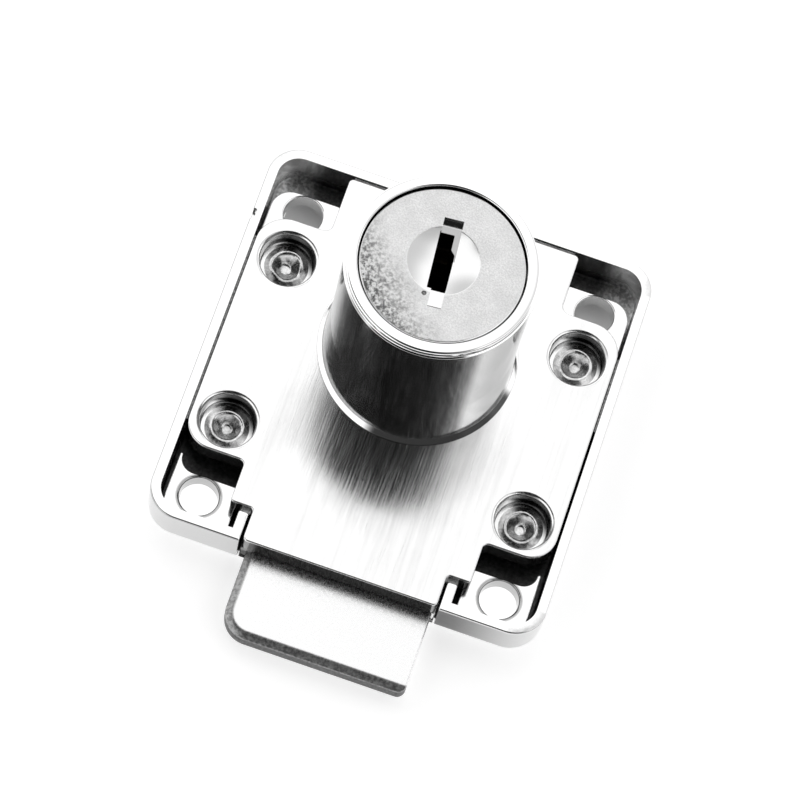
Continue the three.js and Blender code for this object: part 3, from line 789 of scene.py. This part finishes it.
def make_rivet(node, x, y, unevenness, phase):
    """A hollow rivet with a flared head that is a little uneven."""
    seat = TOP - RECESS_DEPTH + 0.02
    profile = [
        (0, 0.02), (2.3, 0.02), (1.6, 0.7), (1.6, seat), (2.2, seat), (2.28, seat + 0.03),
        (2.28, seat + 0.08), (2.15, seat + 0.13), (1.97, seat + 0.18), (1.8, seat + 0.25),
        (1.65, seat + 0.29), (1.52, seat + 0.27), (1.4, seat + 0.19), (1.28, seat + 0.05),
        (1.1, seat - 0.17), (0.86, seat - 0.46), (0.66, seat - 0.69), (0.54, seat - 0.77),
        (0.4, seat - 0.8), (0, seat - 0.8),
    ]
    rivet = turned(node + "_head", profile, 64)
    for vertex in rivet.data.vertices:
        px, py, pz = vertex.co / MM
        reach = math.hypot(px, py)
        if pz > seat - 0.75 and 0.5 < reach < 2.2:
            angle = math.atan2(py, px) + phase
            weight = math.sin((reach - 0.5) / 1.7 * math.pi)
            lift = unevenness * weight * (math.sin(2 * angle) + 0.6 * math.sin(5 * angle + phase))
            shrink = 1 - 0.4 * unevenness * weight * math.cos(3 * angle)
            vertex.co = Vector((px * shrink, py * shrink, pz + lift)) * MM
    rivet.data.transform(Matrix.Translation(Vector((x, y, 0)) * MM))
    return rivet


dress(make_case(), case_material(), "housing", "case_chrome", "case")
plate_finish = brushed_material("brushed plate", 0.93, 0.78, 0.17, 0.16)
dress(make_plate(), plate_finish, "housing", "plate_brushed", "cover_plate")
dress(make_barrel(), barrel_material(), "housing", "barrel_chrome", "barrel")
dress(make_plug(), plug_material(), "plug", "plug_satin", "plug", sharp=8)
dress(make_bolt(), bolt_material(), "bolt", "bolt_satin", "bolt")
rivet_finish = speckled_material("formed rivet", 0.85, 0.35, 0.22, 2.5, 0.5)
for number, (rivet_node, (rivet_x, rivet_y)) in enumerate(RIVETS.items()):
    unevenness = 0.09 if rivet_node == "rivet_upper_left" else 0.03
    rivet_piece = make_rivet(rivet_node, rivet_x, rivet_y, unevenness, 1.3 * number)
    dress(rivet_piece, rivet_finish, "housing", "rivet_zinc", rivet_node)

# The wafers and the retainer are brass, painted nearly black: a painted shade inside the keyway.
shaded_brass = speckled_material("stamped brass", 0.13, 0.08, 0.4, 3.0, 0.2, warm=0.03)
steel = speckled_material("spring wire", 0.6, 0.5, 0.28, 4.0, 0.1)
for node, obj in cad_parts.items():
    if node.startswith("wafer_spring") or node == "retainer_spring":
        finish = steel
    elif node.startswith("wafer") or node == "plug_retainer":
        finish = shaded_brass
    else:
        continue
    obj.data.materials.clear()
    obj.data.materials.append(finish)

# ---------------------------------------------------------------- floor, light and camera


def make_floor():
    material, n = new_material("pale floor")
    shader = n.add("ShaderNodeBsdfPrincipled")
    shader.inputs["Base Color"].default_value = (0.6, 0.6, 0.6, 1)
    shader.inputs["Roughness"].default_value = 0.9
    shader.inputs["Specular IOR Level"].default_value = 0.1
    shader.inputs["Emission Color"].default_value = (1, 1, 1, 1)
    # The floor glows evenly. Below the case, where only the screw holes show it, the glow is
    # painted
    # light from below: strongest at the near side, and nearly gone at the far side as painted
    # shade.
    under_x, under_y, middle_y = 17.9, 19.5, -4.15
    x, y, _ = n.axes()
    within_x = n.math("LESS_THAN", n.math("ABSOLUTE", x), under_x)
    from_middle = n.math("ABSOLUTE", n.math("SUBTRACT", y, middle_y))
    under = n.math("MULTIPLY", within_x, n.math("LESS_THAN", from_middle, under_y))
    glow = n.math("MULTIPLY", under, n.span(y, -17, 14, 0.4, -0.54))
    n.link(n.math("ADD", 0.64, glow), shader.inputs["Emission Strength"])
    output = n.add("ShaderNodeOutputMaterial")
    n.link(shader.outputs[0], output.inputs["Surface"])
    size, depth = 1500, -0.02
    corners = [(-size, -size), (size, -size), (size, size), (-size, size)]
    floor = mesh_object("floor", [(x, y, depth) for x, y in corners], [[0, 1, 2, 3]])
    floor.data.materials.append(material)


def make_world():
    """A white studio with dark patches, which the polished surfaces reflect as dark streaks.

    The patches were placed to match the reflections in the photograph.
    """
    world = bpy.data.worlds.new("studio")
    bpy.context.scene.world = world
    world.use_nodes = True
    n = Nodes(world.node_tree)
    coords = n.add("ShaderNodeTexCoord")
    colour = grey(1.3)
    patches = [
        # direction, inner and outer half angle in degrees, brightness
        ((-0.28, 0.62, 0.74), 4, 13, 0.75),
        ((0.40, 0.62, 0.67), 12, 20, 0.78),
        ((0.42, 0.33, 0.85), 12, 22, 0.76),
        ((0.18, 0.12, 0.97), 3, 12, 0.6),
        ((-0.38, 0.08, 0.92), 8, 11, 0.05),
        ((0.98, 0.0, 0.12), 12, 20, 0.1),
        ((0.90, -0.38, 0.2), 14, 22, 0.06),
        ((0.60, -0.74, 0.32), 14, 24, 0.04),
        ((0.1, -0.88, 0.42), 18, 30, 0.04),
        ((-0.50, -0.12, 0.86), 10, 18, 0.02),
        ((0.0, -0.40, 0.91), 26, 31, 0.01),
    ]
    for direction, inner, outer, level in patches:
        aim = Vector(direction).normalized()
        dot = n.add("ShaderNodeVectorMath", operation="DOT_PRODUCT")
        n.link(coords.outputs["Generated"], dot.inputs[0])
        dot.inputs[1].default_value = aim
        factor = n.span(
            dot.outputs["Value"], math.cos(outer * DEG), math.cos(inner * DEG), 0.0, 1.0, True,
        )
        colour = n.mix(factor, colour, grey(level))
    background = n.add("ShaderNodeBackground")
    n.put(colour, background.inputs["Color"])
    output = n.add("ShaderNodeOutputWorld")
    n.link(background.outputs[0], output.inputs["Surface"])


def make_camera():
    """A long lens from the photograph's angle."""
    azimuth, elevation, roll, distance = 3.161 * DEG, 67.601 * DEG, 16.034 * DEG, 410.6
    target = Vector((-0.181, -3.352, 0))
    back = Vector((
        math.sin(azimuth) * math.cos(elevation), -math.cos(azimuth) * math.cos(elevation),
        math.sin(elevation),
    ))
    right = (-back).cross(Vector((0, 0, 1))).normalized()
    up = right.cross(-back)
    across = right * math.cos(roll) + up * math.sin(roll)
    upright = up * math.cos(roll) - right * math.sin(roll)
    place = (target + back * distance) * MM
    matrix = Matrix((across, upright, back)).transposed().to_4x4()
    matrix.translation = place
    data = bpy.data.cameras.new("camera")
    data.sensor_width = 36
    data.lens = 180
    data.clip_start = 0.01
    data.clip_end = 20
    camera = bpy.data.objects.new("camera", data)
    bpy.context.scene.collection.objects.link(camera)
    camera.matrix_world = matrix
    bpy.context.scene.camera = camera


make_floor()
make_world()
make_camera()
bpy.context.scene.view_settings.view_transform = "Standard"
